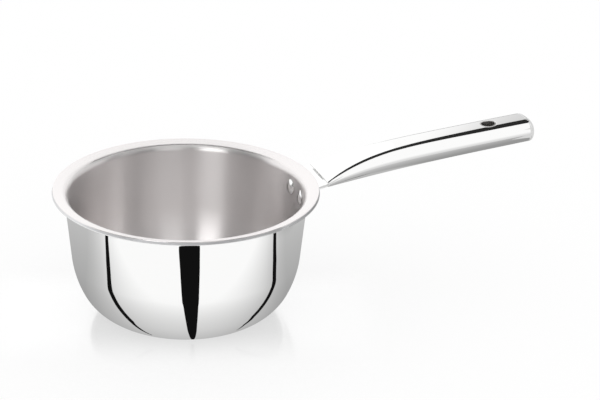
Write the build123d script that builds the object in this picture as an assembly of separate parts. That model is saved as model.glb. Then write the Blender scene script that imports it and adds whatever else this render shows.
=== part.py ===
from build123d import *
import os
from math import cos, radians, sin, tan

# Milk pan: a bonded three-layer bowl with a flared lip, and a hollow handle that is welded
# to a riveted bracket. Lengths are in millimetres and angles in degrees.
# Frame: origin at the centre of the flat base, +Z up, the handle runs out along +X.

# Bowl
rim_radius = 90.0
pan_height = 90.0
base_radius = 42.0
belly_height = 42.0
wall_taper = 5.1
lip_width = 8.0
lip_rise = 14.0
lip_bend = 3.2
heel_share = 0.64

# Bonded sheet, from the outside in
shell_thickness = 0.5
core_thickness = 1.4
liner_thickness = 0.5
edge_round = 0.3

# Rivets
rivet_pitch = 20.0
rivet_drop = 8.7
shank_radius = 2.5
shank_clearance = 0.05
head_radius = 5.3
head_height = 2.1
head_edge = 0.5
clench_radius = 3.8
clench_height = 2.0
head_seat_gap = 0.2

# Bracket
bracket_thickness = 2.0
bracket_half_width = 18.5
bracket_corner = 9.0
flange_drop = 12.5
seat_gap = 0.1
tongue_length = 14.0
tongue_clearance = 0.15

# Handle tube
mouth_gap = 5.0
handle_length = 155.4
handle_wall = 0.8
mouth_half_width = 19.0
end_half_width = 14.9
end_thickness = 16.7
handle_rise = 14.75
swell_shares = (0.0, 0.97, 1.12, 0.98, 1.0, 1.03, 1.0)
flare_shares = (1.0, 0.28, 0.0, 0.0, 0.0, 0.0, 0.0)
climb_shares = (0.0, 0.0, 0.22, 0.45, 0.64, 0.81, 1.0)
fullness_shares = (1.0, 0.8, 0.68, 0.68, 0.68, 0.68, 0.68)

# End cap
dome_depth = 4.2
dome_reach_shares = (0.0, 0.7, 1.0, 1.0)
dome_size_shares = (1.0, 1.0, 0.75, 0.1)
spigot_length = 5.0
spigot_clearance = 0.1

# Hanging hole
hole_radius = 4.85
hole_setback = 27.0
sleeve_wall = 0.8
sleeve_clearance = 0.05

# How far a cutting shape runs past the piece that it cuts
overrun = 5.0

# Worked out from the sizes above
sheet = shell_thickness + core_thickness + liner_thickness
wall_radius = rim_radius - lip_width
bend_turn = 90 - wall_taper - lip_rise
mouth_x = rim_radius + mouth_gap
end_x = mouth_x + handle_length
mouth_thickness = bracket_thickness + 2 * (handle_wall + tongue_clearance)
hole_x = end_x - hole_setback
quarters = ((1, 1), (-1, 1), (-1, -1), (1, -1))
seam_plane = Plane(origin=(0, 0, 0), x_dir=(-1, 0, 0), z_dir=(0, 1, 0))


def heading(angle):
    """Unit vector at an angle above the horizontal, in the plane of radius and height."""
    return Vector(cos(radians(angle)), sin(radians(angle)))


def inward(direction):
    """The side of a bowl line on which the food lies: its direction turned a quarter left."""
    return Vector(-direction.Y, direction.X)


flat = heading(0)
wall = heading(90 - wall_taper)
lip = heading(lip_rise)
lip_edge = Vector(rim_radius, pan_height - sheet * lip.X)
lip_root = lip_edge - lip * (lip_width / lip.X)
rivet_height = lip_root.Y - rivet_drop


def bowl_guide():
    """Spots and headings along the underside of the sheet, from the base's edge to the lip's edge.

    The belly is two arcs that meet smoothly. The first leaves the flat base, and the second
    runs into the straight wall. The lip turns out of the wall in a small bend.
    """
    wall_foot = lip_root - wall * ((lip_root.Y - belly_height) / wall.Y)
    base_edge = Vector(base_radius, 0)
    span = wall_foot - base_edge
    wall_line_at_base = wall_foot.X - belly_height * wall.X / wall.Y
    heel = heel_share * (wall_line_at_base - base_radius)
    flank = (span.dot(span) / 2 - heel * span.dot(flat)) / (span.dot(wall) + heel * (1 - flat.dot(wall)))
    heel_corner = base_edge + flat * heel
    flank_corner = wall_foot - wall * flank
    chord = flank_corner - heel_corner
    join = heel_corner + chord * (heel / (heel + flank))
    bend_reach = lip_bend * tan(radians(bend_turn / 2))
    return [
        (base_edge, flat),
        (join, chord.normalized()),
        (wall_foot, wall),
        (lip_root - wall * bend_reach, wall),
        (lip_root + lip * bend_reach, lip),
        (lip_edge, lip),
    ]


guide = bowl_guide()


def bowl_line(depth):
    """The bowl's half outline at a depth inside the underside, as edges from the middle outwards."""
    spots = [spot + inward(direction) * depth for spot, direction in guide]
    return [
        Line(Vector(0, depth), spots[0]),
        TangentArc(spots[0], spots[1], tangent=guide[0][1]),
        TangentArc(spots[1], spots[2], tangent=guide[1][1]),
        Line(spots[2], spots[3]),
        TangentArc(spots[3], spots[4], tangent=guide[3][1]),
        Line(spots[4], spots[5]),
    ]


def layer_outline(low, high):
    """Half outline of one layer of the sheet, between two depths."""
    under = bowl_line(low)
    over = bowl_line(high)
    middle = Line(under[0] @ 0, over[0] @ 0)
    edge = Line(under[-1] @ 1, over[-1] @ 1)
    return make_face(under + over + [middle, edge])


def rounded_at(outline, depth):
    """The outline with its corner at the lip's edge, at this depth, rounded over."""
    corner_spot = lip_edge + inward(lip) * depth
    corner = outline.vertices().sort_by_distance(corner_spot)[0]
    return fillet(corner, edge_round)


def turned(outline):
    """A half outline turned all round the bowl's axis."""
    return revolve(seam_plane * outline, Axis.Z)


def wall_spot(depth, height):
    """The place on the straight wall at a depth inside the underside, at a height."""
    foot = guide[2][0] + inward(wall) * depth
    return foot + wall * ((height - foot.Y) / wall.Y)


def rivet_planes():
    """One plane for each rivet, on the inside of the wall and facing squarely out through it."""
    spot = wall_spot(sheet, rivet_height)
    swing = (rivet_pitch / 2) / spot.X
    planes = []
    for side in (-1, 1):
        around = side * swing
        out = (wall.Y * cos(around), wall.Y * sin(around), -wall.X)
        place = (spot.X * cos(around), spot.X * sin(around), spot.Y)
        planes.append(Plane(origin=place, z_dir=out))
    return planes


def rivet_holes():
    """Round cutters for the shanks, through the wall and the bracket."""
    length = sheet + seat_gap + bracket_thickness + 2 * overrun
    cutter = Cylinder(shank_radius + shank_clearance, length)
    return [plane.location * cutter for plane in rivet_planes()]


def rivet():
    """One rivet along +Z: the domed head inside, the shank, and the head clenched outside."""
    grip = sheet + seat_gap + bracket_thickness
    head_face = -head_seat_gap
    dome_top = head_face - head_height
    clench_face = grip + head_seat_gap
    clench_top = clench_face + clench_height
    head_arc_foot = (head_radius, head_face - head_edge)
    clench_arc_foot = (clench_radius, clench_face + head_edge)
    edges = [
        TangentArc((0, dome_top), head_arc_foot, tangent=(1, 0)),
        Line(head_arc_foot, (head_radius, head_face)),
        Line((head_radius, head_face), (shank_radius, head_face)),
        Line((shank_radius, head_face), (shank_radius, clench_face)),
        Line((shank_radius, clench_face), (clench_radius, clench_face)),
        Line((clench_radius, clench_face), clench_arc_foot),
        TangentArc((0, clench_top), clench_arc_foot, tangent=(1, 0)),
        Line((0, clench_top), (0, dome_top)),
    ]
    return revolve(Plane.XZ * make_face(edges), Axis.Z)


def beyond_wall(offset, bend_radius, reach, half_width, foot):
    """A block that lies outside the wall and under the tongue, both moved out by an offset.

    Its back follows the round wall, its top is a slope parallel to the lip, and the edge
    between them is rounded. It runs out to a reach, across a half width and down to a foot.
    """
    slope = lip_root - inward(lip) * offset
    back = wall_radius / 2
    top_back = slope.Y + (back - slope.X) * lip.Y / lip.X
    top_front = slope.Y + (reach - slope.X) * lip.Y / lip.X
    side = make_face(Polyline((back, foot), (reach, foot), (reach, top_front), (back, top_back), close=True))
    block = extrude(Plane.XZ * side, half_width, both=True)
    low = wall_spot(-offset, foot - overrun)
    high = wall_spot(-offset, pan_height + overrun)
    core = make_face(Polyline((0, low.Y), (low.X, low.Y), (high.X, high.Y), (0, high.Y), close=True))
    block -= turned(core)
    bend = block.edges().filter_by(GeomType.LINE, reverse=True).sort_by(Axis.Z)[-1]
    return fillet(bend, bend_radius)


def tongue_room():
    """The space for the tongue in the tube, a seat gap clear of it, and as far out of its mouth."""
    ovals = control_ovals(handle_wall + seat_gap)
    inside = Solid(Shell(skin(ovals) + [disc(ovals[0]), disc(ovals[-1])]))
    return inside + extrude(disc(ovals[0]), seat_gap, dir=(-1, 0, 0))


def handle_bracket():
    """The pressed plate: a flange on the wall, a bend under the lip, and a tongue for the tube.

    The bend nests in the bend under the lip. The tongue's edges are rounded to fill the tube's
    mouth from side to side.
    """
    tip_x = mouth_x + tongue_length
    foot = rivet_height - flange_drop
    body = beyond_wall(seat_gap, lip_bend, tip_x, bracket_half_width, foot)
    beneath = beyond_wall(
        seat_gap + bracket_thickness,
        lip_bend - bracket_thickness,
        tip_x + overrun,
        bracket_half_width + overrun,
        foot - overrun,
    )
    plate = body - beneath
    front_height = 2 * (pan_height - foot)
    front = Plane(origin=(0, 0, foot + front_height / 2), x_dir=(0, 1, 0), z_dir=(1, 0, 0))
    face_shape = extrude(front * RectangleRounded(2 * bracket_half_width, front_height, bracket_corner), 2 * end_x)
    plate &= face_shape
    beyond_length = tongue_length + seat_gap + overrun
    beyond = Box(beyond_length, 4 * bracket_half_width, 2 * pan_height)
    plate -= Pos(mouth_x - seat_gap + beyond_length / 2, 0, pan_height) * beyond - tongue_room()
    for hole in rivet_holes():
        plate -= hole
    return plate


def control_ovals(inset):
    """The ovals that steer the tube's form, from mouth to end, moved in by an inset.

    The tube starts flat at its mouth and swells to an oval. Its girth stays about the same, so
    it is wide where it is flat. Its underside climbs in one slow curve. Each oval is its x, the
    height of its middle, its half width and half height, and how far the ends of each quarter
    run on straight, up from the side and across from the crown.
    """
    tongue_middle = lip_root - inward(lip) * (seat_gap + bracket_thickness / 2)
    mouth_height = tongue_middle.Y + (mouth_x - tongue_middle.X) * lip.Y / lip.X
    last = len(swell_shares) - 1
    ovals = []
    for index, (swell, flare, climb, fullness) in enumerate(
        zip(swell_shares, flare_shares, climb_shares, fullness_shares)
    ):
        thickness = mouth_thickness + (end_thickness - mouth_thickness) * swell
        half_width = end_half_width + (mouth_half_width - end_half_width) * flare - inset
        half_height = thickness / 2 - inset
        middle = mouth_height + handle_rise * climb + (thickness - mouth_thickness) / 2
        x = mouth_x + handle_length * index / last
        ovals.append((x, middle, half_width, half_height, fullness * half_height, fullness * half_width))
    return ovals


def oval_at(ovals, share):
    """The true oval at a share of the way along, by halving in on it between the steering ovals."""
    while len(ovals) > 1:
        ovals = [
            tuple(one + (two - one) * share for one, two in zip(start, end))
            for start, end in zip(ovals, ovals[1:])
        ]
    return ovals[0]


def quarter(oval, across, up):
    """The four steering points of one quarter of an oval, from its side to its crown."""
    x, middle, half_width, half_height, side_reach, crown_reach = oval
    return [
        (x, across * half_width, middle),
        (x, across * half_width, middle + up * side_reach),
        (x, across * crown_reach, middle + up * half_height),
        (x, 0, middle + up * half_height),
    ]


def skin(ovals):
    """Four smooth sides, one for each quarter, from the first oval to the last."""
    return [
        Face.make_bezier_surface([quarter(oval, across, up) for oval in ovals])
        for across, up in quarters
    ]


def disc(oval):
    """The flat face inside one oval."""
    return make_face([Bezier(*quarter(oval, across, up)) for across, up in quarters]).face()


def ring(outer, inner):
    """The flat face between two ovals at the same x."""
    return Face(disc(outer).outer_wire(), [disc(inner).outer_wire()])


def hole_plane():
    """The hanging hole's plane: at the middle of the tube and square to its run."""
    ovals = control_ovals(0)
    share = (hole_x - mouth_x) / handle_length
    step = hole_radius / handle_length
    before = oval_at(ovals, share - step)
    after = oval_at(ovals, share + step)
    middle = oval_at(ovals, share)[1]
    return Plane(origin=(hole_x, 0, middle), z_dir=(before[1] - after[1], 0, after[0] - before[0]))


def hole_cutter(radius):
    """A round bar through the hanging hole, longer than the tube is thick."""
    return hole_plane().location * Cylinder(radius, end_thickness + 2 * overrun)


def handle_tube():
    """The hollow tube, open at its flat mouth and at its end, with room for the sleeve."""
    outside = control_ovals(0)
    inside = control_ovals(handle_wall)
    ends = [ring(outside[0], inside[0]), ring(outside[-1], inside[-1])]
    tube = Solid(Shell(skin(outside) + skin(inside) + ends))
    return tube - hole_cutter(hole_radius + sleeve_wall + sleeve_clearance)


def hanging_hole_sleeve():
    """The ring through the handle that lines the hanging hole, flush with the tube."""
    outside = control_ovals(0)
    form = Solid(Shell(skin(outside) + [disc(outside[0]), disc(outside[-1])]))
    return (hole_cutter(hole_radius + sleeve_wall) - hole_cutter(hole_radius)) & form


def dome_ovals(base, depth):
    """The ovals that steer a rounded end, from its base out to a small flat tip."""
    x, middle, half_width, half_height, side_reach, crown_reach = base
    return [
        (
            x + depth * reach,
            middle,
            half_width * size,
            half_height * size,
            side_reach * size,
            crown_reach * size,
        )
        for reach, size in zip(dome_reach_shares, dome_size_shares)
    ]


def handle_end_cap():
    """The pressed cap: a domed shell that closes the tube, with a spigot inside the tube's end."""
    spigot_inset = handle_wall + spigot_clearance
    hollow_inset = spigot_inset + handle_wall
    back_share = 1 - spigot_length / handle_length
    rim = control_ovals(0)[-1]
    outside = [oval_at(control_ovals(spigot_inset), share) for share in (back_share, 1)]
    inside = [oval_at(control_ovals(hollow_inset), share) for share in (back_share, 1)]
    dome = dome_ovals(rim, dome_depth)
    hollow = dome_ovals(inside[-1], dome_depth - handle_wall)
    faces = skin(dome) + [disc(dome[-1]), ring(rim, outside[-1])]
    faces += skin(outside) + [ring(outside[0], inside[0])]
    faces += skin(inside) + skin(hollow) + [disc(hollow[-1])]
    return Solid(Shell(faces))


def drilled(layer):
    """A layer of the bowl with its rivet holes."""
    for hole in rivet_holes():
        layer -= hole
    return layer


core_top = shell_thickness + core_thickness

parts = {
    "outer_shell": drilled(turned(rounded_at(layer_outline(0, shell_thickness), 0))),
    "aluminium_core": drilled(turned(layer_outline(shell_thickness, core_top))),
    "inner_liner": drilled(turned(rounded_at(layer_outline(core_top, sheet), sheet))),
    "handle_bracket": handle_bracket(),
    "handle_rivets": Compound([plane.location * rivet() for plane in rivet_planes()]),
    "handle_tube": handle_tube(),
    "hanging_hole_sleeve": hanging_hole_sleeve(),
    "handle_end_cap": handle_end_cap(),
}

os.makedirs("parts", exist_ok=True)
for name, shape in parts.items():
    export_step(shape, f"parts/{name}.step")
    print(name, len(shape.solids()), round(shape.volume, 1))
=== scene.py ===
from math import comb, radians

import bmesh
import bpy
import numpy as np
from mathutils import Matrix, Vector


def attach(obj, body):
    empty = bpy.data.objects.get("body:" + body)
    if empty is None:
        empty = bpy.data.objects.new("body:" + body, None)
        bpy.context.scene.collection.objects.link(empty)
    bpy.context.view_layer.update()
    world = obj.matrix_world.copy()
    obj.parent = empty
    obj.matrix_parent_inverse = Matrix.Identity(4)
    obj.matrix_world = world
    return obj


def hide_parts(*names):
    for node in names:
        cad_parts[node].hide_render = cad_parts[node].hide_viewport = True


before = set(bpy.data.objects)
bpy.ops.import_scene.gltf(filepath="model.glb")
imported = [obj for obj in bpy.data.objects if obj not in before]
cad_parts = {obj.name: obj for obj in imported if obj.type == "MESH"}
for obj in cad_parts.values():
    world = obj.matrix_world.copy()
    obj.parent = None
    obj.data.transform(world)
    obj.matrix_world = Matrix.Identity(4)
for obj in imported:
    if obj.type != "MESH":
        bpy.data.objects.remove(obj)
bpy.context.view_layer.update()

# The looks of a small milk pan: a bonded steel bowl with a flared lip, and a hollow polished
# handle on a riveted bracket. Lengths are in metres and angles in degrees. The frame is the
# part's own: origin at the centre of the base, +Z up, the handle out along +X.

# Bowl
rim_radius = 0.090
pan_height = 0.090
base_radius = 0.042
belly_height = 0.042
wall_taper = 5.1
lip_width = 0.008
lip_rise = 14.0
lip_bend = 0.0032
heel_share = 0.64
shell_thickness = 0.0005
core_thickness = 0.0014
liner_thickness = 0.0005
edge_round = 0.0003

# Rivets
rivet_pitch = 0.020
rivet_drop = 0.0087
shank_radius = 0.0025
head_radius = 0.0053
head_height = 0.0021
head_edge = 0.0005
clench_radius = 0.0038
clench_height = 0.0020
head_seat_gap = 0.0002
head_corner = 0.0002

# Bracket
bracket_thickness = 0.002
bracket_half_width = 0.0185
bracket_corner = 0.009
flange_drop = 0.0125
seat_gap = 0.0001
tongue_length = 0.014
tongue_clearance = 0.00015
tongue_overlap = 0.001
bracket_edge = 0.0003

# Handle tube
mouth_gap = 0.005
handle_length = 0.1554
handle_wall = 0.0008
mouth_half_width = 0.019
end_half_width = 0.0149
end_thickness = 0.0167
handle_rise = 0.01475
swell_shares = (0.0, 0.97, 1.12, 0.98, 1.0, 1.03, 1.0)
flare_shares = (1.0, 0.28, 0.0, 0.0, 0.0, 0.0, 0.0)
climb_shares = (0.0, 0.0, 0.22, 0.45, 0.64, 0.81, 1.0)
fullness_shares = (1.0, 0.8, 0.68, 0.68, 0.68, 0.68, 0.68)
mouth_edge = 0.0003
seam_edge = 0.00022

# End cap
dome_depth = 0.0042
dome_reach_shares = (0.0, 0.7, 1.0, 1.0)
dome_size_shares = (1.0, 1.0, 0.75, 0.1)
spigot_length = 0.005
spigot_clearance = 0.0001

# Hanging hole
hole_radius = 0.00485
hole_setback = 0.027
sleeve_wall = 0.0008
sleeve_clearance = 0.00005
hole_edge = 0.00025
window_half_length = 0.009

# Worked out from the sizes above
sheet = shell_thickness + core_thickness + liner_thickness
core_top = shell_thickness + core_thickness
wall_radius = rim_radius - lip_width
bend_turn = 90 - wall_taper - lip_rise
mouth_x = rim_radius + mouth_gap
end_x = mouth_x + handle_length
mouth_thickness = bracket_thickness + 2 * (handle_wall + tongue_clearance)
hole_x = end_x - hole_setback
hole_share = (hole_x - mouth_x) / handle_length
sleeve_radius = hole_radius + sleeve_wall
tube_hole_radius = sleeve_radius + sleeve_clearance

# How finely the surfaces are divided
# The bowl's rows are those of its base, heel, flank, wall, bend and lip
bowl_rows = (16, 44, 32, 16, 22, 6)
layer_edge_rows = 4
corner_rows = 6
bowl_turns = 288
rivet_turns = 72
head_rows = 24
clench_rows = 20
flange_points = 40
plate_bend_rows = 24
plate_tongue_rows = 8
plate_steps = 16
tongue_rows = 16
around_steps = 96
window_steps = 18
# The tube's rows are those before, beside and after the square window that is left for the hole
tube_rows = (120, window_steps, 16)
ring_steps = 8
dome_rows = 32
hollow_rows = 16
dome_crowding = 1.5
rounding_steps = 5
solver_step = 1e-5
solver_rounds = 8
weld_distance = 1e-6
sharp_angle = 40.0

# Finishes
# The polishes and roughnesses are from and to, the scales are per metre, and the depths in metres
steel_colour = (0.92, 0.92, 0.915)
# The sleeve's steel made darker: painted shade inside the hanging hole
hole_shade_colour = (0.50, 0.49, 0.48)
satin_colour = (0.86, 0.835, 0.83)
core_colour = (0.80, 0.80, 0.81)
bowl_polish = (0.015, 0.035)
handle_polish = (0.02, 0.045)
rivet_polish = (0.05, 0.10)
bore_polish = (0.24, 0.32)
bowl_hairlines = (140.0, 140.0, 900.0)
handle_hairlines = (60.0, 1400.0, 1400.0)
fine_hairlines = (700.0, 700.0, 700.0)
hairline_detail = 5.0
hairline_strength = 0.05
hairline_depth = 0.00001
smear_scale = 26.0
smear_detail = 4.0
smear_range = (0.35, 0.75)
ring_fineness = 2600.0
ring_break_up = 9.0
ring_detail = 4.0
ring_strength = 0.2
ring_depth = 0.00002
patch_scale = 38.0
patch_detail = 3.0
patch_range = (0.3, 0.7)
core_roughness = (0.28, 0.4)
satin_roughness = (0.335, 0.345)
satin_stretch = 0.9
satin_turn = 0.25
lip_smoother = 0.12
lip_fade = 0.0012
crown_slope = 0.11


def heading(angle):
    """Unit vector at an angle above the horizontal, in the plane of radius and height."""
    return np.array([np.cos(radians(angle)), np.sin(radians(angle))])


def inward(direction):
    """The side of a bowl line on which the food lies: its direction turned a quarter left."""
    return np.array([-direction[1], direction[0]])


flat = heading(0)
wall = heading(90 - wall_taper)
lip = heading(lip_rise)
lip_edge = np.array([rim_radius, pan_height - sheet * lip[0]])
lip_root = lip_edge - lip * (lip_width / lip[0])
rivet_height = lip_root[1] - rivet_drop


def steps(count):
    """Even shares of a way in so many steps, without its start."""
    return np.linspace(0, 1, count + 1)[1:]


def rounding(edge):
    """A quarter round in (in, down) steps, (edge * (1 - sin a), edge * (1 - cos a)) for even angles a."""
    angle = np.linspace(0, np.pi / 2, rounding_steps)
    return list(zip(edge * (1 - np.sin(angle)), edge * (1 - np.cos(angle))))


# Shares up the flange, round the bend and out along the tongue, and places round the tube
flange_shares = np.sin(np.linspace(0, np.pi / 2, flange_points)) ** 2
plate_shares = np.concatenate([flange_shares, steps(plate_bend_rows), steps(plate_tongue_rows)])
round_tube = np.arange(around_steps) * 4 / around_steps


def line(start, end, count):
    """Evenly spaced points from start to end, start + (end - start) * t, without the start."""
    return start + (end - start) * steps(count)[:, None]


def arc(start, direction, end, count):
    """Points of the circle that leaves start along direction and passes end, without the start.

    Its centre lies square to the direction at a signed radius of chord * chord / (2 * chord . normal),
    and the points are the start turned about that centre by even steps.
    """
    normal = inward(direction)
    chord = end - start
    radius = chord @ chord / (2 * chord @ normal)
    centre = start + normal * radius
    angle = 2 * np.arctan2(chord @ normal, chord @ direction) * steps(count)[:, None]
    return centre - normal * radius * np.cos(angle) + direction * radius * np.sin(angle)


def bowl_guide():
    """Spots and headings along the underside of the sheet, from the base's edge to the lip's edge.

    The belly is two arcs that meet smoothly. The heel leaves the flat base, and the flank runs
    into the straight wall. The lip turns out of the wall in a small bend.
    """
    wall_foot = lip_root - wall * ((lip_root[1] - belly_height) / wall[1])
    base_edge = np.array([base_radius, 0])
    span = wall_foot - base_edge
    wall_line_at_base = wall_foot[0] - belly_height * wall[0] / wall[1]
    heel = heel_share * (wall_line_at_base - base_radius)
    flank = (span @ span / 2 - heel * span @ flat) / (span @ wall + heel * (1 - flat @ wall))
    heel_corner = base_edge + flat * heel
    chord = wall_foot - wall * flank - heel_corner
    join = heel_corner + chord * (heel / (heel + flank))
    bend_reach = lip_bend * np.tan(radians(bend_turn / 2))
    return [
        (base_edge, flat),
        (join, chord / np.linalg.norm(chord)),
        (wall_foot, wall),
        (lip_root - wall * bend_reach, wall),
        (lip_root + lip * bend_reach, lip),
        (lip_edge, lip),
    ]


guide = bowl_guide()


def bowl_line(depth):
    """The bowl's half outline at a depth inside the underside, as points from the middle outwards."""
    spots = [spot + inward(direction) * depth for spot, direction in guide]
    middle = np.array([[0.0, depth]])
    base, heel, flank, straight, bend, out = bowl_rows
    return np.concatenate([
        middle,
        line(middle[0], spots[0], base),
        arc(spots[0], guide[0][1], spots[1], heel),
        arc(spots[1], guide[1][1], spots[2], flank),
        line(spots[2], spots[3], straight),
        arc(spots[3], guide[3][1], spots[4], bend),
        line(spots[4], spots[5], out),
    ])


def layer_outline(low, high):
    """Closed half outline of one layer: out along its underside, up its edge and back along its top.

    The sheet's two outer corners at the lip's edge are rounded; the bonded joints stay square.
    """
    under = bowl_line(low)
    over = bowl_line(high)[::-1]
    side = inward(lip)
    edge = line(under[-1], over[0], layer_edge_rows)[:-1]
    if low == 0:
        start = under[-1] - lip * edge_round
        rounded = arc(start, lip, under[-1] + side * edge_round, corner_rows)
        under = np.concatenate([under[:-1], [start], rounded])
        edge = edge[:0]
    if high == sheet:
        start = over[0] - side * edge_round
        rounded = arc(start, side, over[0] - lip * edge_round, corner_rows)
        over = np.concatenate([[start], rounded, over[1:]])
        edge = edge[:0]
    return np.concatenate([under, edge, over])


def lattice(rows, columns, wrap_rows=False):
    """Quads of a grid of points that closes on itself across its columns, and its rows if asked.

    Point (row, column) has the index row * columns + column, and each quad joins it to its
    neighbours at column + 1 and row + 1.
    """
    row = np.arange(rows if wrap_rows else rows - 1)[:, None]
    column = np.arange(columns)[None, :]
    after_row = (row + 1) % rows
    after_column = (column + 1) % columns
    corners = (
        row * columns + column,
        row * columns + after_column,
        after_row * columns + after_column,
        after_row * columns + column,
    )
    return np.stack(corners, -1).reshape(-1, 4)


def closed_by_poles(loops):
    """Points and faces of stacked loops, with a fan from the middle of the first and last loop."""
    rows, columns = loops.shape[:2]
    poles = np.stack([loops[0].mean(0), loops[-1].mean(0)])
    first = rows * columns
    spoke = np.arange(columns)
    after = (spoke + 1) % columns
    foot = np.stack([np.full(columns, first), after, spoke], -1)
    last_row = (rows - 1) * columns
    head = np.stack([np.full(columns, first + 1), last_row + spoke, last_row + after], -1)
    points = np.concatenate([loops.reshape(-1, 3), poles])
    return points, [*lattice(rows, columns).tolist(), *foot.tolist(), *head.tolist()]


def turned(profile, turns):
    """A half outline turned about the vertical: (r cos a, r sin a, z) at even angles a.

    The first and last points lie on the axis, so their loops are left to the poles.
    """
    angle = np.linspace(0, 2 * np.pi, turns, endpoint=False)
    radius = profile[1:-1, 0, None]
    height = np.broadcast_to(profile[1:-1, 1, None], (len(profile) - 2, turns))
    return np.stack([radius * np.cos(angle), radius * np.sin(angle), height], -1)


def signed_volume(points, faces):
    """Six times the volume inside the faces, negative where they point inwards."""
    volume = 0.0
    for size in (3, 4):
        ring = np.array([face for face in faces if len(face) == size])
        for step in range(1, size - 1):
            if len(ring):
                one, two, three = (points[ring[:, corner]] for corner in (0, step, step + 1))
                volume += np.einsum("ij,ij->", one, np.cross(two, three))
    return volume


def piece(name, solids, node, material):
    """A mesh object made of closed solids, each as (points, faces), that stands for a CAD node."""
    builder = bmesh.new()
    for points, faces in solids:
        if signed_volume(points, faces) < 0:
            faces = [face[::-1] for face in faces]
        solid = bpy.data.meshes.new(name)
        solid.from_pydata(points.tolist(), [], faces)
        builder.from_mesh(solid)
        bpy.data.meshes.remove(solid)
    bmesh.ops.remove_doubles(builder, verts=builder.verts, dist=weld_distance)
    mesh = bpy.data.meshes.new(name)
    builder.to_mesh(mesh)
    builder.free()
    mesh.polygons.foreach_set("use_smooth", np.ones(len(mesh.polygons), bool))
    mesh.set_sharp_from_angle(angle=radians(sharp_angle))
    mesh.materials.append(material)
    made = bpy.data.objects.new(name, mesh)
    bpy.context.scene.collection.objects.link(made)
    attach(made, "root")
    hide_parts(node)


def layer_solid(low, high):
    """One layer of the bowl's sheet, turned from its half outline."""
    return closed_by_poles(turned(layer_outline(low, high), bowl_turns))


def rivet_outline():
    """Closed half outline of a rivet along +Z: the domed head inside, the shank, the clenched head."""
    grip = sheet + seat_gap + bracket_thickness
    head_face = -head_seat_gap
    clench_face = grip + head_seat_gap
    dome_top = np.array([0, head_face - head_height])
    dome_foot = np.array([head_radius, head_face - head_edge])
    clench_foot = np.array([clench_radius, clench_face + head_edge])
    clench_top = np.array([0, clench_face + clench_height])
    corners = np.array([
        [head_radius, head_face - head_corner],
        [head_radius - head_corner, head_face],
        [shank_radius, head_face],
        [shank_radius, clench_face],
        [clench_radius - head_corner, clench_face],
        [clench_radius, clench_face + head_corner],
    ])
    dome = arc(dome_top, flat, dome_foot, head_rows)
    clench = arc(clench_top, flat, clench_foot, clench_rows)[::-1]
    return np.concatenate([[dome_top], dome, corners, clench, [clench_top]])


def rivet_solids():
    """Both rivets, each stood square to the tapered wall on the wall's inside."""
    foot = guide[2][0] + inward(wall) * sheet
    spot = foot + wall * ((rivet_height - foot[1]) / wall[1])
    points, faces = closed_by_poles(turned(rivet_outline(), rivet_turns))
    solids = []
    for side in (-1, 1):
        turn = side * (rivet_pitch / 2) / spot[0]
        out = np.array([wall[1] * np.cos(turn), wall[1] * np.sin(turn), -wall[0]])
        across = np.array([-np.sin(turn), np.cos(turn), 0])
        up = np.cross(out, across)
        place = np.array([spot[0] * np.cos(turn), spot[0] * np.sin(turn), spot[1]])
        solids.append((place + points @ np.stack([across, -up, out]), faces))
    return solids


def plate_places(across, depth):
    """Places (x, z) on the plate, for places across it at every station and a depth into each column.

    Stations run up the flange, round the bend and out to the tube's mouth. At each place the
    flange leans with the wall and stands where the round wall stands there, the top is parallel
    to the lip, and an arc whose radius is the lip's bend less the depth joins them.
    """
    lean = wall[0] / wall[1]
    slope = lip[1] / lip[0]
    offset = (seat_gap + depth)[:, None]
    root = lip_root - inward(lip) * offset
    spot = guide[2][0] - inward(wall) * offset
    reach = spot[:, 0] + (root[:, 1] - spot[:, 1]) * lean
    wall_x = np.sqrt(reach**2 - across**2)
    lean_here = lean * reach / wall_x
    corner_x = (wall_x / lean_here - slope * root[:, 0]) / (1 / lean_here - slope)
    corner = np.stack([corner_x, root[:, 1] + slope * (corner_x - root[:, 0])], -1)
    up = np.stack([lean_here, np.ones_like(lean_here)], -1)
    up /= np.linalg.norm(up, axis=-1, keepdims=True)
    out = np.stack([up[..., 1], -up[..., 0]], -1)
    radius = (lip_bend - depth)[:, None]
    turn = np.arccos(up @ lip)[..., None]
    tangent = radius * np.tan(turn / 2)
    bend_start = corner - up * tangent
    bend_end = corner + lip * tangent
    foot = bend_start + up * ((rivet_height - flange_drop - bend_start[..., 1:]) / up[..., 1:])
    tip = bend_end + lip * ((mouth_x - seat_gap - bend_end[..., :1]) / lip[0])
    share = plate_shares[:, None, None]
    flange = foot + (bend_start - foot) * share
    bend = bend_start + radius * (out * (1 - np.cos(turn * share)) + up * np.sin(turn * share))
    tongue = bend_end + (tip - bend_end) * share
    first, second = flange_points, flange_points + plate_bend_rows
    return np.concatenate([flange[:first], bend[first:second], tongue[second:]])


def plate_half_widths(height):
    """Half width of the plate at each height, rounded at its foot.

    The foot's corner is a quarter circle: corner - sqrt(corner^2 - (corner - height)^2) narrower.
    """
    above = np.clip(height - (rivet_height - flange_drop), 0, bracket_corner)
    return bracket_half_width - bracket_corner + np.sqrt(bracket_corner**2 - (bracket_corner - above) ** 2)


def rounded_section(half_width, thickness, corner):
    """Across and depth of the points round a flat bar's section with small rounded corners."""
    quarter = np.linspace(0, np.pi / 2, rounding_steps)
    middles = (
        (half_width - corner, thickness - corner, 0),
        (-half_width + corner, thickness - corner, np.pi / 2),
        (-half_width + corner, corner, np.pi),
        (half_width - corner, corner, 3 * np.pi / 2),
    )
    across = [middle + corner * np.cos(start + quarter) for middle, _, start in middles]
    depth = [middle + corner * np.sin(start + quarter) for _, middle, start in middles]
    between = steps(plate_steps)[:-1]
    # The flat of one side goes between the last two corners, and then the other's between the first two
    for after, before in ((3, 2), (1, 0)):
        start, end = across[before][:, -1:], across[after][:, :1]
        across.insert(after, start + (end - start) * between)
        depth.insert(after, np.full(len(between), depth[before][-1]))
    return np.concatenate(across, -1), np.concatenate(depth)


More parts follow.
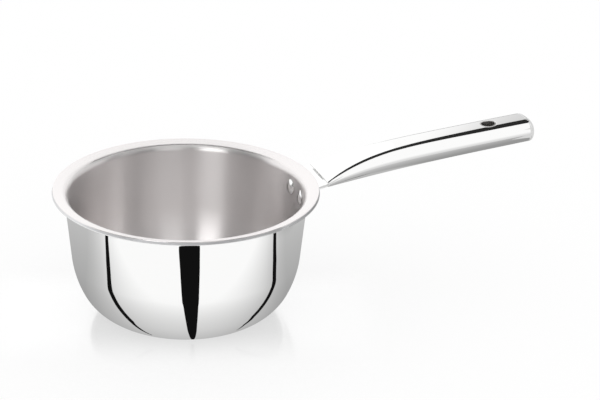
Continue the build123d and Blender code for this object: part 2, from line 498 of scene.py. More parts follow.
def plate_solid():
    """The pressed plate, as rounded sections carried up the flange, round the bend and out."""
    middle = plate_places(np.zeros((len(plate_shares), 1)), np.array([bracket_thickness / 2]))
    half_width = plate_half_widths(middle[:, :, 1])
    across, depth = rounded_section(half_width, bracket_thickness, bracket_edge)
    place = plate_places(across, depth)
    return closed_by_poles(np.stack([place[..., 0], across, place[..., 1]], -1))


def tongue_solid():
    """The tongue inside the tube: the tube's mouth cut to the plate's thickness, narrowing with the tube.

    Each section keeps the mouth's outline (y, z) as (y * width / mouth width, z held within half
    the plate's upright thickness), about the plate's own middle line.
    """
    start = mouth_x - seat_gap - tongue_overlap
    x = np.linspace(start, mouth_x + tongue_length, tongue_rows + 1)
    room = control_ovals(handle_wall + seat_gap)
    width = steered(room, np.clip((x - mouth_x) / handle_length, 0, None))[:, 2] / room[0, 2]
    mouth = on_oval(room[0], round_tube)
    half_thickness = bracket_thickness / 2 / lip[0]
    height = np.clip(mouth[:, 2] - room[0, 1], -half_thickness, half_thickness)
    middle = room[0, 1] + (x - mouth_x) * lip[1] / lip[0]
    return closed_by_poles(np.stack([
        np.broadcast_to(x[:, None], (len(x), around_steps)),
        mouth[:, 1] * width[:, None],
        middle[:, None] + height,
    ], -1))


def control_ovals(inset):
    """The ovals that steer the tube's form, from mouth to end, moved in by an inset.

    Each row is x, the height of the middle, half width and half height, and how far the ends of
    each quarter run on straight, up from the side and across from the crown.
    """
    swell, flare = np.array(swell_shares), np.array(flare_shares)
    climb, fullness = np.array(climb_shares), np.array(fullness_shares)
    tongue_middle = lip_root - inward(lip) * (seat_gap + bracket_thickness / 2)
    mouth_height = tongue_middle[1] + (mouth_x - tongue_middle[0]) * lip[1] / lip[0]
    thickness = mouth_thickness + (end_thickness - mouth_thickness) * swell
    half_width = end_half_width + (mouth_half_width - end_half_width) * flare - inset
    half_height = thickness / 2 - inset
    middle = mouth_height + handle_rise * climb + (thickness - mouth_thickness) / 2
    x = mouth_x + handle_length * np.linspace(0, 1, len(swell))
    return np.stack([x, middle, half_width, half_height, fullness * half_height, fullness * half_width], -1)


def steered(controls, share):
    """The true values at shares of the way along rows of steering values, in Bernstein's form."""
    last = len(controls) - 1
    share = np.asarray(share, float)[..., None]
    terms = [comb(last, k) * (1 - share) ** (last - k) * share**k * controls[k] for k in range(last + 1)]
    return sum(terms)


def on_oval(oval, around):
    """Points round ovals: around is 0 at the +y side, 1 at the crown, 2 at the -y side, 3 underneath.

    Each quarter is a cubic curve from the side (half width, 0) by way of (half width, side reach)
    and (crown reach, half height) to the crown (0, half height).
    """
    around = np.mod(around, 4)
    part = 1 - np.abs(np.mod(around, 2) - 1)
    rest = 1 - part
    left = np.where((around >= 1) & (around < 3), -1.0, 1.0)
    up = np.where(around < 2, 1.0, -1.0)
    x, middle, half_width, half_height, side_reach, crown_reach = np.moveaxis(oval, -1, 0)
    y = half_width * (rest**3 + 3 * rest**2 * part) + 3 * crown_reach * rest * part**2
    z = 3 * side_reach * rest**2 * part + half_height * (3 * rest * part**2 + part**3)
    return np.stack(np.broadcast_arrays(x, left * y, middle + up * z), -1)


def tube_point(inset, share, around):
    """Points of the handle's form, at shares along it and places around it, moved in by an inset."""
    return on_oval(steered(control_ovals(inset), share), around)


def tube_loop(inset, share):
    """One loop round the handle's form."""
    return tube_point(inset, np.full(around_steps, share), round_tube)


def hole_frame():
    """The hanging hole's middle, its axis, square to the tube's run, and the way along the tube."""
    near = hole_share + np.array([-1, 0, 1]) * hole_radius / handle_length
    before, middle, after = steered(control_ovals(0), near)
    axis = np.array([before[1] - after[1], 0, after[0] - before[0]])
    axis /= np.linalg.norm(axis)
    return np.array([hole_x, 0, middle[1]]), axis, np.array([axis[2], 0, -axis[0]])


hole_middle, hole_axis, hole_along = hole_frame()


def hole_rim(inset, side, radius, angle):
    """Share and place around of the points of the tube's form at a radius from the hole's axis.

    Two residuals, the distance along the tube less radius * cos(angle) and y less
    radius * sin(angle), are brought to zero by Newton's method at all the points together.
    """
    target = np.stack([radius * np.cos(angle), radius * np.sin(angle)], -1)
    share = hole_share + target[:, 0] / handle_length
    around = 2 - side - side * target[:, 1] / end_half_width / 2

    def residual(share, around):
        offset = tube_point(inset, share, around) - hole_middle
        return np.stack([offset @ hole_along, offset[:, 1]], -1) - target

    for _ in range(solver_rounds):
        now = residual(share, around)
        by_share = (residual(share + solver_step, around) - now) / solver_step
        by_around = (residual(share, around + solver_step) - now) / solver_step
        scale = by_share[:, 0] * by_around[:, 1] - by_share[:, 1] * by_around[:, 0]
        share = share - (now[:, 0] * by_around[:, 1] - now[:, 1] * by_around[:, 0]) / scale
        around = around - (by_share[:, 0] * now[:, 1] - by_share[:, 1] * now[:, 0]) / scale
    return share, around


def hole_ring(inset, side, radius, depth, angle):
    """Points of the tube's form at a radius from the hole's axis, sunk along that axis by a depth."""
    return tube_point(inset, *hole_rim(inset, side, radius, angle)) - side * depth * hole_axis


def window_edge():
    """Grid steps round the edge of the square window that is left open for the hanging hole."""
    low = np.arange(window_steps)
    full = np.full(window_steps, window_steps)
    none = np.zeros(window_steps, int)
    return np.concatenate([low, full, full - low, none]), np.concatenate([none, low, full, full - low])


def strip(one, two):
    """Quads between two rings of as many point indices."""
    return np.stack([one, np.roll(one, -1), np.roll(two, -1), two], -1)


def tube_skin(inset, shares, drops):
    """One skin of the tube with its two hole windows filled by rings that close in on the hole.

    The skin is a grid in share and place around. Round the hole, each ring lies a share of the
    way, in those two values, from the window's edge to the hole's rim. Drops adds rings as
    (extra radius, depth along the hole's axis) inside that. Returns the points, the faces, and
    the innermost ring of each side as indices.
    """
    points = [tube_point(inset, *np.meshgrid(shares, round_tube, indexing="ij")).reshape(-1, 3)]
    count = len(points[0])
    cells = lattice(len(shares), around_steps)
    row, column = np.divmod(cells[:, 0], around_steps)
    first_row = tube_rows[0]
    in_rows = (row >= first_row) & (row < first_row + window_steps)
    kept = np.ones(len(cells), bool)
    faces = []
    rims = {}
    for side, crown in ((1, around_steps // 4), (-1, 3 * around_steps // 4)):
        first_column = crown - window_steps // 2
        kept &= ~(in_rows & (column >= first_column) & (column < first_column + window_steps))
        edge_row, edge_column = window_edge()
        edge_row = edge_row + first_row
        edge_column = edge_column + first_column
        edge_share, edge_around = shares[edge_row], round_tube[edge_column]
        offset = tube_point(inset, edge_share, edge_around) - hole_middle
        angle = np.arctan2(offset[:, 1], offset @ hole_along)
        rim_share, rim_around = hole_rim(inset, side, tube_hole_radius + drops[0][0], angle)
        rings = []
        for blend in steps(ring_steps):
            ring_share = edge_share + (rim_share - edge_share) * blend
            ring_around = edge_around + (rim_around - edge_around) * blend
            rings.append(tube_point(inset, ring_share, ring_around))
        for extra, depth in drops[1:]:
            rings.append(hole_ring(inset, side, tube_hole_radius + extra, depth, angle))
        previous = edge_row * around_steps + edge_column
        for ring in rings:
            latest = count + np.arange(len(ring))
            faces.append(strip(latest, previous))
            previous = latest
            count += len(ring)
        points += rings
        rims[side] = previous
    return np.concatenate(points), np.concatenate([cells[kept], *faces]), rims


def tube_shares():
    """Shares along the tube, even within each stretch, with grid lines on the window's two edges."""
    reach = window_half_length / handle_length
    marks = (0, hole_share - reach, hole_share + reach, 1)
    shares = [[0]]
    for start, end, rows in zip(marks, marks[1:], tube_rows):
        shares.append(start + (end - start) * steps(rows))
    return np.concatenate(shares)


def tube_solid():
    """The hollow tube: its outer and inner skins, joined through both rims of the hole and at its ends."""
    shares = tube_shares()
    outer_shares = shares.copy()
    outer_shares[0] = mouth_edge / handle_length
    outer_shares[-1] = 1 - seam_edge / handle_length
    outer, outer_faces, outer_rims = tube_skin(0, outer_shares, rounding(hole_edge))
    inner, inner_faces, inner_rims = tube_skin(handle_wall, shares, [(0, 0)])
    count = len(outer)
    points = [outer, inner]
    faces = [outer_faces, inner_faces[:, ::-1] + count]
    faces += [strip(inner_rims[side] + count, outer_rims[side]) for side in (1, -1)]
    used = count + len(inner)
    first = np.arange(around_steps)
    last = first + (len(shares) - 1) * around_steps
    for edge, end, onward, loop in ((mouth_edge, 0, 1, first), (seam_edge, 1, -1, last)):
        rings = [loop]
        for step_in, step_down in rounding(edge)[1:]:
            points.append(tube_loop(step_down, end + onward * step_in / handle_length))
            rings.append(used + first)
            used += around_steps
        rings.append(loop + count)
        for one, two in zip(rings, rings[1:]):
            faces.append(strip(one, two) if end else strip(two, one))
    return np.concatenate(points), np.concatenate(faces).tolist()


def sleeve_solid():
    """The ring that lines the hanging hole: rings round the hole, over both rounded rims.

    Its ends follow the tube's form, so it lies flush with both crowns.
    """
    angle = np.linspace(0, 2 * np.pi, 4 * window_steps, endpoint=False)
    rim = [(sleeve_radius - step_in, step_down) for step_in, step_down in rounding(hole_edge)[::-1]]
    rim += [(hole_radius + step_in, step_down) for step_in, step_down in rounding(hole_edge)]
    rings = [hole_ring(0, 1, radius, depth, angle) for radius, depth in rim]
    rings += [hole_ring(0, -1, radius, depth, angle) for radius, depth in rim[::-1]]
    return np.concatenate(rings), lattice(len(rings), len(angle), wrap_rows=True).tolist()


def dome_loops(base, depth, rows):
    """Loops of a rounded end over an oval, each as large and as far out as the dome's two curves say."""
    share = np.linspace(0, 1, rows + 1) ** dome_crowding
    curve = steered(np.stack([dome_reach_shares, dome_size_shares], -1), share)
    ovals = np.repeat(base[None], rows + 1, 0)
    ovals[:, 0] += depth * curve[:, 0]
    ovals[:, 2:] *= curve[:, 1:]
    return on_oval(ovals[:, None, :], round_tube)


def cap_solid():
    """The pressed cap, as loops from the dome's tip over its rim, along the spigot and back inside."""
    spigot_inset = handle_wall + spigot_clearance
    hollow_inset = spigot_inset + handle_wall
    back = 1 - spigot_length / handle_length
    rim = steered(control_ovals(0), 1.0)
    dome = dome_loops(rim, dome_depth, dome_rows)[::-1]
    hollow = dome_loops(steered(control_ovals(hollow_inset), 1.0), dome_depth - handle_wall, hollow_rows)
    loops = [*dome[dome[:, 0, 0] > rim[0] + seam_edge]]
    for step_in, step_down in rounding(seam_edge):
        edge = rim.copy()
        edge[0] += step_in
        edge[2:] -= step_down
        loops.append(on_oval(edge[None], round_tube))
    loops += [tube_loop(spigot_inset, share) for share in (1.0, back)]
    loops += [tube_loop(hollow_inset, share) for share in (back, 1.0)]
    return closed_by_poles(np.stack([*loops, *hollow[1:]]))


# Shader nodes that the materials share


def group(name, inputs, outputs):
    """An empty shader node group with named sockets, and its input and output nodes."""
    tree = bpy.data.node_groups.new(name, "ShaderNodeTree")
    for label, kind, value in inputs:
        tree.interface.new_socket(label, in_out="INPUT", socket_type=kind).default_value = value
    for label, kind in outputs:
        tree.interface.new_socket(label, in_out="OUTPUT", socket_type=kind)
    return tree, tree.nodes.new("NodeGroupInput"), tree.nodes.new("NodeGroupOutput")


def feed(tree, value, socket):
    """Gives a socket a plain number, or links another node's output to it."""
    if isinstance(value, (int, float)):
        socket.default_value = value
    else:
        tree.links.new(value, socket)


def maths(tree, operation, *operands):
    """The result of a maths node on sockets or plain numbers."""
    node = tree.nodes.new("ShaderNodeMath")
    node.operation = operation
    for value, socket in zip(operands, node.inputs):
        feed(tree, value, socket)
    return node.outputs[0]


def total(tree, one, two):
    """The sum of two values."""
    return maths(tree, "ADD", one, two)


def product(tree, one, two):
    """One value times another."""
    return maths(tree, "MULTIPLY", one, two)


def ramp_between(tree, value, low, high, bottom=0.0, top=1.0):
    """A smooth ramp from bottom to top as the value goes from low to high."""
    node = tree.nodes.new("ShaderNodeMapRange")
    node.interpolation_type = "SMOOTHSTEP"
    tree.links.new(value, node.inputs["Value"])
    for label, number in (("From Min", low), ("From Max", high), ("To Min", bottom), ("To Max", top)):
        node.inputs[label].default_value = number
    return node.outputs["Result"]


def noise(tree, vector, scale, detail):
    """The value of a noise texture on a vector."""
    node = tree.nodes.new("ShaderNodeTexNoise")
    node.inputs["Scale"].default_value = scale
    node.inputs["Detail"].default_value = detail
    tree.links.new(vector, node.inputs["Vector"])
    return node.outputs["Fac"]


def own_place(tree):
    """The Object coordinates of the point being shaded."""
    return tree.nodes.new("ShaderNodeTexCoord").outputs["Object"]


def split(tree, vector):
    """The x, y and z of a vector."""
    parts = tree.nodes.new("ShaderNodeSeparateXYZ")
    tree.links.new(vector, parts.inputs[0])
    return parts.outputs


def from_axis(tree, x, y):
    """The distance from the pan's axis, sqrt(x * x + y * y)."""
    return maths(tree, "SQRT", total(tree, product(tree, x, x), product(tree, y, y)))


def turned_rings():
    """Group: fine rings left by turning, from noise on (x / r, y / r, r + z) stretched round the axis."""
    tree, start, end = group(
        "turned_rings",
        [("Fineness", "NodeSocketFloat", ring_fineness), ("Break up", "NodeSocketFloat", ring_break_up)],
        [("Height", "NodeSocketFloat"), ("Patch", "NodeSocketFloat")],
    )
    place = own_place(tree)
    x, y, z = split(tree, place)
    radius = from_axis(tree, x, y)
    joined = tree.nodes.new("ShaderNodeCombineXYZ")
    for value, socket in zip((x, y), joined.inputs):
        round_axis = product(tree, maths(tree, "DIVIDE", value, radius), start.outputs["Break up"])
        tree.links.new(round_axis, socket)
    run = product(tree, total(tree, radius, z), start.outputs["Fineness"])
    tree.links.new(run, joined.inputs["Z"])
    tree.links.new(noise(tree, joined.outputs[0], 1.0, ring_detail), end.inputs["Height"])
    tree.links.new(noise(tree, place, patch_scale, patch_detail), end.inputs["Patch"])
    return tree


def lip_crown():
    """Group: the height that crowns the lip a little, -slope * (radius - the lip's root), and 0 inside."""
    slope = ("Slope", "NodeSocketFloat", crown_slope)
    tree, start, end = group("lip_crown", [slope], [("Height", "NodeSocketFloat")])
    x, y, _ = split(tree, own_place(tree))
    run = maths(tree, "MAXIMUM", maths(tree, "SUBTRACT", from_axis(tree, x, y), wall_radius), 0.0)
    drop = product(tree, run, start.outputs["Slope"])
    tree.links.new(product(tree, drop, -1.0), end.inputs["Height"])
    return tree


def polish_marks():
    """Group: the faint smears and hairline marks of buffed steel, as two masks from stretched noise."""
    tree, start, end = group(
        "polish_marks",
        [("Stretch", "NodeSocketVector", (1.0, 1.0, 1.0))],
        [("Smear", "NodeSocketFloat"), ("Hairlines", "NodeSocketFloat")],
    )
    place = own_place(tree)
    scaled = tree.nodes.new("ShaderNodeVectorMath")
    scaled.operation = "MULTIPLY"
    tree.links.new(place, scaled.inputs[0])
    tree.links.new(start.outputs["Stretch"], scaled.inputs[1])
    smear = noise(tree, place, smear_scale, smear_detail)
    tree.links.new(ramp_between(tree, smear, *smear_range), end.inputs["Smear"])
    tree.links.new(noise(tree, scaled.outputs[0], 1.0, hairline_detail), end.inputs["Hairlines"])
    return tree


rings_group = turned_rings()
crown_group = lip_crown()
polish_group = polish_marks()


def metal(name, colour):
    """A metallic material with its shader, whose colour is set on the shader's own socket."""
    material = bpy.data.materials.new(name)
    material.use_nodes = True
    shader = material.node_tree.nodes["Principled BSDF"]
    shader.inputs["Base Color"].default_value = (*colour, 1.0)
    shader.inputs["Metallic"].default_value = 1.0
    return material, material.node_tree, shader


def placed(tree, group_tree):
    """A group's node in a material."""
    node = tree.nodes.new("ShaderNodeGroup")
    node.node_tree = group_tree
    return node


def bump(tree, shader, height, strength, distance):
    """Feeds a height to the shader's normal through a bump of a real depth."""
    node = tree.nodes.new("ShaderNodeBump")
    node.inputs["Strength"].default_value = strength
    node.inputs["Distance"].default_value = distance
    tree.links.new(height, node.inputs["Height"])
    tree.links.new(node.outputs["Normal"], shader.inputs["Normal"])


def polished_steel(name, stretch, polish, colour=steel_colour):
    """Polished steel: a roughness that rises from low to high in smears, with faint hairlines."""
    material, tree, shader = metal(name, colour)
    marks = placed(tree, polish_group)
    marks.inputs["Stretch"].default_value = stretch
    rough = ramp_between(tree, marks.outputs["Smear"], 0.0, 1.0, *polish)
    tree.links.new(rough, shader.inputs["Roughness"])
    bump(tree, shader, marks.outputs["Hairlines"], hairline_strength, hairline_depth)
    return material


def satin_steel():
    """Satin steel turned round the bowl: it blurs what it mirrors up and down far more than round.

    The lip is smoother, and a slow patchiness keeps the blur from being quite even.
    """
    material, tree, shader = metal("satin_steel", satin_colour)
    lip_height = lip_root[1] + sheet
    on_lip = ramp_between(tree, split(tree, own_place(tree))["Z"], lip_height - lip_fade, lip_height)
    patch = placed(tree, rings_group).outputs["Patch"]
    rough = ramp_between(tree, patch, *patch_range, *satin_roughness)
    eased = maths(tree, "SUBTRACT", rough, product(tree, on_lip, lip_smoother))
    tree.links.new(eased, shader.inputs["Roughness"])
    shader.inputs["Anisotropic"].default_value = satin_stretch
    shader.inputs["Anisotropic Rotation"].default_value = satin_turn
    round_axis = tree.nodes.new("ShaderNodeTangent")
    round_axis.direction_type = "RADIAL"
    round_axis.axis = "Z"
    tree.links.new(round_axis.outputs[0], shader.inputs["Tangent"])
    bump(tree, shader, placed(tree, crown_group).outputs["Height"], 1.0, 1.0)
    return material


def core_metal():
    """The rolled aluminium between the two steels, with the fine rings of a trimmed edge."""
    material, tree, shader = metal("core_metal", core_colour)
    rings = placed(tree, rings_group)
    rough = ramp_between(tree, rings.outputs["Patch"], *patch_range, *core_roughness)
    tree.links.new(rough, shader.inputs["Roughness"])
    bump(tree, shader, rings.outputs["Height"], ring_strength, ring_depth)
    return material


# The pieces

bowl_steel = polished_steel("polished_steel", bowl_hairlines, bowl_polish)
handle_steel = polished_steel("handle_steel", handle_hairlines, handle_polish)
# The same polished steel made darker: painted shade inside the hanging hole
hole_shade_steel = polished_steel("hole_shade_steel", fine_hairlines, bore_polish, hole_shade_colour)
rivet_steel = polished_steel("rivet_steel", fine_hairlines, rivet_polish)
shell = layer_solid(0, shell_thickness)
core = layer_solid(shell_thickness, core_top)
liner = layer_solid(core_top, sheet)

piece("bowl_outer_skin", [shell], "outer_shell", bowl_steel)
piece("bowl_core_layer", [core], "aluminium_core", core_metal())
piece("bowl_inner_skin", [liner], "inner_liner", satin_steel())
piece("bracket_plate", [plate_solid(), tongue_solid()], "handle_bracket", handle_steel)
piece("rivet_pair", rivet_solids(), "handle_rivets", rivet_steel)
piece("grip_tube", [tube_solid()], "handle_tube", handle_steel)
piece("hole_sleeve", [sleeve_solid()], "hanging_hole_sleeve", hole_shade_steel)
piece("grip_end_cap", [cap_solid()], "handle_end_cap", handle_steel)


# Surroundings: a pale floor, white light all round, and a few cards that only metal mirrors

view_turn = 20.066
view_drop = 23.392
view_roll = 2.010
camera_place = (-0.24754, -0.90115, 0.48558)
lens_length = 90.0
film_width = 36.0
floor_half = 3.0
floor_drop = 0.0002
card_drop = 0.0001
card_black = 0.006
bar_black = 0.022

# Cards are laid out in the view's own directions: to the right of the view, and towards the camera
mm = 0.001
to_right = (0.9643, -0.2648)
to_camera = (-0.2648, -0.9643)

# The black card on the floor in front, as its two edges in mm: (to the right, towards the camera).
# It lies behind the pan as well, turned half round it
centre_card = (
    [(3.5, 52), (0, 83), (-4.5, 120), (-14, 169), (-30, 235)],
    [(5, 52), (10, 82), (17, 118), (29, 167), (43, 235)],
)

# Two strips beside the pan, as (to the right, towards the camera, half width) along the middle
left_strip = [
    (-205, 83, 5.2), (-150, 71, 5.7), (-119, 65.5, 4.9), (-105, 65, 4.6), (-76, 62.5, 3.3), (-46, 61, 2),
    (-24, 54, 0.5),
]
right_strip = [
    (215, 50, 6.2), (155, 39, 6.1), (127, 37.5, 5.1), (120, 39.5, 4.7), (90, 45, 3.5), (58, 52, 2.1),
    (45, 52, 1.2), (36, 49.5, 0.4),
]

# A strip behind the pan, as its two edges before they are turned half round it. Its mirror image
# lies there too
back_strip = (
    [(80, 112), (95, 135), (150, 215), (230, 330)],
    [(80, 112), (90, 138), (138, 221), (212, 338)],
)

# The reaches are how far from the metal a card still shows, so that only the handle mirrors the
# ones round it. The dark bar overhead has its near edge at these (x, y), and its far edge at one y
near_reach = 0.225
bar_reach = 0.27
any_reach = 10.0
bar_height = 0.26
bar_near = [(-0.04, 0.097), (0.08, 0.097), (0.178, 0.096), (0.207, 0.084), (0.272, 0.0535), (0.45, 0.044)]
bar_far_y = 0.1615

# Upright boards, as their two ends (x, y) and the heights of foot and head. The white one in front
# of the handle meets a level one that runs on to the bar, and is greyer at its foot: two tones,
# and the heights between them. The grey one behind the handle darkens towards +X. The third
# stands past the handle's end.
front_y = -0.115
front_board = ((0.13, front_y), (0.38, front_y)), (0.068, bar_height)
white_tones = (0.76, 1.05)
white_fade = (0.075, 0.135)
grey_board = ((0.24, 0.32), (0.60, 0.32)), (0.10, 0.55)
grey_tones = (1.06, 0.71)
grey_fade = (0.27, 0.42)
end_board = ((0.30, -0.114), (0.30, 0.04)), (0.03, 0.22)
end_tones = (0.72, 0.72)

# The room that metal mirrors: a grey level, and soft boxes as (turn from, turn to, rise from,
# rise to, soft edge, strength). Turns run to the right of the view, from the way to the camera
# for the boxes in front and from the way out behind the pan for the ones at the back.
room_tone = 0.21
front_boxes = [
    (-41, -13, 16, 42, 3, 3.3),
    (-1, 35, 14, 44, 9, 1.0),
    (55, 77, 8, 46, 6, 0.35),
    (80, 150, -20, 90, 12, -0.18),
    (-90, 90, 38, 100, 12, 0.36),
]
back_boxes = [
    (-100, 100, -30, 64, 12, 0.92),
    (0, 110, -30, 64, 16, -0.15),
    (-179, 179, 58, 120, 10, 0.33),
]

# How much of the floor shines by itself for the camera, so that it is nearly white
glow_share = 0.74

# Painted light and shade of the floor in the metal, from behind the pan to in front of it, darker
# behind the pan and near it, and how it rises with the distance from the pan's axis
painted_floor_stops = [
    (-0.25, 0.40), (0.0, 0.40), (0.025, 0.46), (0.05, 0.56), (0.075, 0.72), (0.10, 0.86), (0.125, 0.98),
]
rise_start = 0.1
floor_rise = 1.5
floor_white = 1.04

# To the right of the pan another painted light and shade takes over, which the handle's underside mirrors:
# side_tone + side_rise * (towards the camera - side_slant * (to the right - side_middle))
side_fade = (0.18, 0.215)
side_tone = 0.36
side_rise = 1.2
side_slant = 0.35
side_middle = 0.3
side_limits = (0.33, 0.80)

# The floor's faint gleam just in front of the pan: its share and blur, and where it fades out or
# in, towards the camera, away from it and all round
gleam_share = 0.27
gleam_roughness = 0.13
gleam_front = (0.035, 0.088)
gleam_back = (-0.06, -0.02)
gleam_round = (0.11, 0.15)


def add_camera():
    """The camera at the photograph's place, turned from +Y, tipped down and rolled a little."""
    data = bpy.data.cameras.new("camera")
    data.lens = lens_length
    data.sensor_width = film_width
    camera = bpy.data.objects.new("camera", data)
    turn = Matrix.Rotation(radians(-view_turn), 4, "Z")
    tip = Matrix.Rotation(radians(90 - view_drop), 4, "X")
    roll = Matrix.Rotation(radians(view_roll), 4, "Z")
    camera.matrix_world = Matrix.Translation(camera_place) @ turn @ tip @ roll
    bpy.context.scene.collection.objects.link(camera)
    bpy.context.scene.camera = camera


def bare_tree(owner, output_kind):
    """The emptied node tree of a material or a world, and the surface input of its new output."""
    owner.use_nodes = True
    tree = owner.node_tree
    tree.nodes.clear()
    return tree, tree.nodes.new(output_kind).inputs["Surface"]


def white_shader(tree, kind):
    """A shader of one kind in plain white."""
    node = tree.nodes.new(kind)
    node.inputs["Color"].default_value = (1.0, 1.0, 1.0, 1.0)
    return node


def toned_shader(tree, kind, tone):
    """A shader of one kind whose colour another node gives."""
    node = tree.nodes.new(kind)
    tree.links.new(tone, node.inputs["Color"])
    return node


def mixed(tree, share, one, two):
    """The shader that goes from one to two as the share goes from 0 to 1."""
    node = tree.nodes.new("ShaderNodeMixShader")
    for value, socket in zip((share, one.outputs[0], two.outputs[0]), node.inputs):
        feed(tree, value, socket)
    return node


def light_path(tree, label):
    """One of the outputs that say what kind of ray it is, or how long."""
    return tree.nodes.new("ShaderNodeLightPath").outputs[label]


def along_way(tree, x, y, way):
    """How far (x, y) lies along a level direction: x * way x + y * way y."""
    return total(tree, product(tree, x, way[0]), product(tree, y, way[1]))


def add_staged(name, points, faces, material):
    """A mesh object of the surroundings."""
    mesh = bpy.data.meshes.new(name)
    mesh.from_pydata(points, [], faces)
    mesh.materials.append(material)
    made = bpy.data.objects.new(name, mesh)
    bpy.context.scene.collection.objects.link(made)
    return made


def card_material(name, tones, axis="X", span=(0.0, 1.0), reach=any_reach):
    """A tone that goes from one value to another along an axis, clear from behind and from far off."""
    material = bpy.data.materials.new(name)
    tree, surface = bare_tree(material, "ShaderNodeOutputMaterial")
    tone = ramp_between(tree, split(tree, own_place(tree))[axis], *span, *tones)
    face = toned_shader(tree, "ShaderNodeEmission", tone)
    behind = tree.nodes.new("ShaderNodeNewGeometry").outputs["Backfacing"]
    far_off = maths(tree, "GREATER_THAN", light_path(tree, "Ray Length"), reach)
    clear = white_shader(tree, "ShaderNodeBsdfTransparent")
    shown = mixed(tree, maths(tree, "MAXIMUM", behind, far_off), face, clear)
    tree.links.new(shown.outputs[0], surface)
    return material


def add_card(name, edges, facing, material):
    """A card between two edge lines, its face towards a direction, that only metal mirrors."""
    count = len(edges[0])
    faces = [(k, k + 1, count + k + 1, count + k) for k in range(count - 1)]
    card = add_staged(name, [*edges[0], *edges[1]], faces, material)
    if card.data.polygons[0].normal.dot(Vector(facing)) < 0:
        card.data.flip_normals()
    card.visible_camera = False
    card.visible_diffuse = False
    card.visible_transmission = False
    card.visible_shadow = False


def strip_edges(middle_line):
    """The two long edges of a strip that is given along its middle, its width set off crosswise."""
    return [[(across, along + side * half) for across, along, half in middle_line] for side in (-1, 1)]


def on_floor(edges, side):
    """Edges given in mm to the right and towards the camera, as places just over the floor.

    With a side of -1 they are turned half round the pan, so that its back mirrors the same cards.
    """
    right, near = np.array(to_right), np.array(to_camera)
    places = [[side * mm * (right * across + near * along) for across, along in edge] for edge in edges]
    return [[(*place.tolist(), -card_drop) for place in edge] for edge in places]


def upright(board):
    """The foot and head edges of an upright board."""
    ends, heights = board
    return [[(*end, height) for end in ends] for height in heights]


def add_cards():
    """The black cards on the floor round the pan, and the bar and boards round the handle."""
    up, down = (0, 0, 1), (0, 0, -1)
    black = card_material("black_card", (card_black, card_black))
    for number, edges in enumerate((centre_card, strip_edges(left_strip), strip_edges(right_strip))):
        add_card(f"front_card_{number}", on_floor(edges, 1), up, black)
    mirrored = [[(-across, along) for across, along in edge] for edge in back_strip]
    for number, edges in enumerate((centre_card, back_strip, mirrored)):
        add_card(f"back_card_{number}", on_floor(edges, -1), up, black)
    near = [(x, y, bar_height) for x, y in bar_near]
    far = [(x, bar_far_y, bar_height) for x, _ in bar_near]
    dark = card_material("bar_card", (bar_black, bar_black), reach=bar_reach)
    add_card("bar_card", (near, far), down, dark)
    white = card_material("white_card", (white_tones[1], white_tones[1]), reach=near_reach)
    add_card("top_board", ([(x, front_y, z) for x, _, z in near[1:]], near[1:]), down, white)
    toned = card_material("toned_card", white_tones, "Z", white_fade, near_reach)
    add_card("front_board", upright(front_board), (0, 1, 0), toned)
    grey = card_material("grey_card", grey_tones, "X", grey_fade)
    add_card("grey_board", upright(grey_board), (0, -1, 0), grey)
    end = card_material("end_card", end_tones, reach=near_reach)
    add_card("end_board", upright(end_board), (-1, 0, 0), end)


def tone_ramp(tree, value, tones):
    """The tone at a value, on straight lines between (value, tone) stops that run upwards."""
    first, last = tones[0][0], tones[-1][0]
    shares = tree.nodes.new("ShaderNodeMapRange")
    tree.links.new(value, shares.inputs["Value"])
    shares.inputs["From Min"].default_value = first
    shares.inputs["From Max"].default_value = last
    ramp = tree.nodes.new("ShaderNodeValToRGB")
    tree.links.new(shares.outputs[0], ramp.inputs["Fac"])
    stops = ramp.color_ramp.elements
    for _ in tones[2:]:
        stops.new(0.5)
    for stop, (where, tone) in zip(stops, tones):
        stop.position = (where - first) / (last - first)
        stop.color = (tone, tone, tone, 1.0)
    return ramp.outputs[0]


def painted_floor_light(tree, along, across, away):
    """Painted light and shade of the floor in the metal: darker behind the pan and near it, brighter in
    front of it and away from it.
    """
    rise = product(tree, maths(tree, "SUBTRACT", away, rise_start), floor_rise)
    near = maths(tree, "MINIMUM", total(tree, tone_ramp(tree, along, painted_floor_stops), rise), floor_white)
    slant = product(tree, maths(tree, "SUBTRACT", across, side_middle), side_slant)
    beside = product(tree, maths(tree, "SUBTRACT", along, slant), side_rise)
    beside = maths(tree, "MAXIMUM", total(tree, beside, side_tone), side_limits[0])
    beside = maths(tree, "MINIMUM", beside, side_limits[1])
    right_part = ramp_between(tree, across, *side_fade)
    kept = product(tree, near, maths(tree, "SUBTRACT", 1.0, right_part))
    return total(tree, kept, product(tree, beside, right_part))


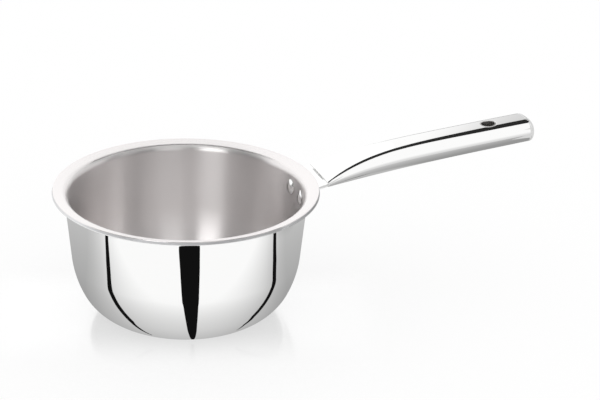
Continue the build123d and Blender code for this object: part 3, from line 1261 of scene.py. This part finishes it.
def floor_material():
    """Pale floor: white to the camera with a faint shadow and gleam, and painted light and shade where the
    metal mirrors it.
    """
    material = bpy.data.materials.new("pale_floor")
    tree, surface = bare_tree(material, "ShaderNodeOutputMaterial")
    x, y, _ = split(tree, own_place(tree))
    along, across = (along_way(tree, x, y, way) for way in (to_camera, to_right))
    away = from_axis(tree, x, y)
    plain = white_shader(tree, "ShaderNodeBsdfDiffuse")
    seen = mixed(tree, glow_share, plain, white_shader(tree, "ShaderNodeEmission"))
    gloss = white_shader(tree, "ShaderNodeBsdfGlossy")
    gloss.inputs["Roughness"].default_value = gleam_roughness
    gleam = ramp_between(tree, along, *gleam_front, gleam_share, 0.0)
    gleam = maths(tree, "MINIMUM", gleam, ramp_between(tree, along, *gleam_back, 0.0, gleam_share))
    gleam = maths(tree, "MINIMUM", gleam, ramp_between(tree, away, *gleam_round, gleam_share, 0.0))
    polished = mixed(tree, gleam, seen, gloss)
    # The floor as the metal mirrors it glows with painted light and shade
    mirrored = toned_shader(tree, "ShaderNodeEmission", painted_floor_light(tree, along, across, away))
    for_camera = mixed(tree, light_path(tree, "Is Camera Ray"), plain, polished)
    for_metal = mixed(tree, light_path(tree, "Is Glossy Ray"), for_camera, mirrored)
    tree.links.new(for_metal.outputs[0], surface)
    return material


def add_floor():
    """A large flat floor just under the pan."""
    corners = [(-1, -1), (1, -1), (1, 1), (-1, 1)]
    points = [(x * floor_half, y * floor_half, -floor_drop) for x, y in corners]
    add_staged("floor", points, [(0, 1, 2, 3)], floor_material())


def soft_box(tree, turn, rise, box):
    """A large soft light in the room: its strength inside its ranges of turn and rise, with soft edges."""
    turn_from, turn_to, rise_from, rise_to, soft, light = box
    for value, start, onward in (
        (turn, turn_from, soft),
        (turn, turn_to, -soft),
        (rise, rise_from, soft),
        (rise, rise_to, -soft),
    ):
        inside = ramp_between(tree, value, radians(start), radians(start + onward))
        light = product(tree, inside, light)
    return light


def light_world():
    """White light from every side, which metal mirrors as large soft boxes in a grey room."""
    world = bpy.data.worlds.new("studio")
    bpy.context.scene.world = world
    tree, surface = bare_tree(world, "ShaderNodeOutputWorld")
    x, y, z = split(tree, tree.nodes.new("ShaderNodeTexCoord").outputs["Generated"])
    along, across = (along_way(tree, x, y, way) for way in (to_camera, to_right))
    front_turn = maths(tree, "ARCTAN2", across, along)
    back_turn = maths(tree, "ARCTAN2", across, product(tree, along, -1.0))
    rise = maths(tree, "ARCSINE", z)
    tone = room_tone
    for turn, boxes in ((front_turn, front_boxes), (back_turn, back_boxes)):
        for box in boxes:
            tone = total(tree, soft_box(tree, turn, rise, box), tone)
    studio = toned_shader(tree, "ShaderNodeBackground", maths(tree, "MAXIMUM", tone, 0.0))
    white = white_shader(tree, "ShaderNodeBackground")
    tree.links.new(mixed(tree, light_path(tree, "Is Glossy Ray"), white, studio).outputs[0], surface)


add_camera()
add_floor()
add_cards()
light_world()
bpy.context.scene.view_settings.view_transform = "Standard"
